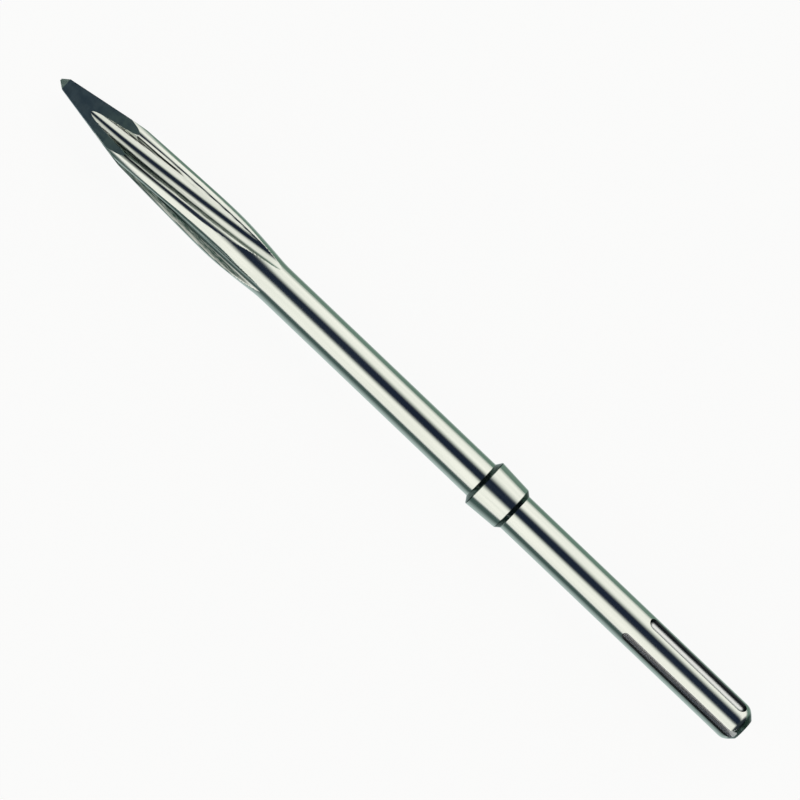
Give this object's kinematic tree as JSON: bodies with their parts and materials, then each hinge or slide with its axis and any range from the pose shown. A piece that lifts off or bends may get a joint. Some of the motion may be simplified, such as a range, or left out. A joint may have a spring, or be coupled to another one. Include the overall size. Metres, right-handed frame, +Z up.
{
  "type": "pointed chisel",
  "caption": "Pointed chisel for a rotary hammer: a round steel bar with a slotted shank, a stop collar and a twisted, fluted head ground to a four-sided point.",
  "frame": {"origin": "centre of the flat struck end of the shank", "axes": "+X along the bar's axis from the struck end to the tip, +Z up as the chisel lies at rest on its collar and two ribs of its head"},
  "size_m": [0.4, 0.0234, 0.0232],
  "materials": {
    "polished_steel": "polished forged steel, with a slight green-grey cast, and dark ground faces at the point"
  },
  "bodies": {
    "root": {"pointed_chisel": "polished_steel"}
  },
  "joints": []
}
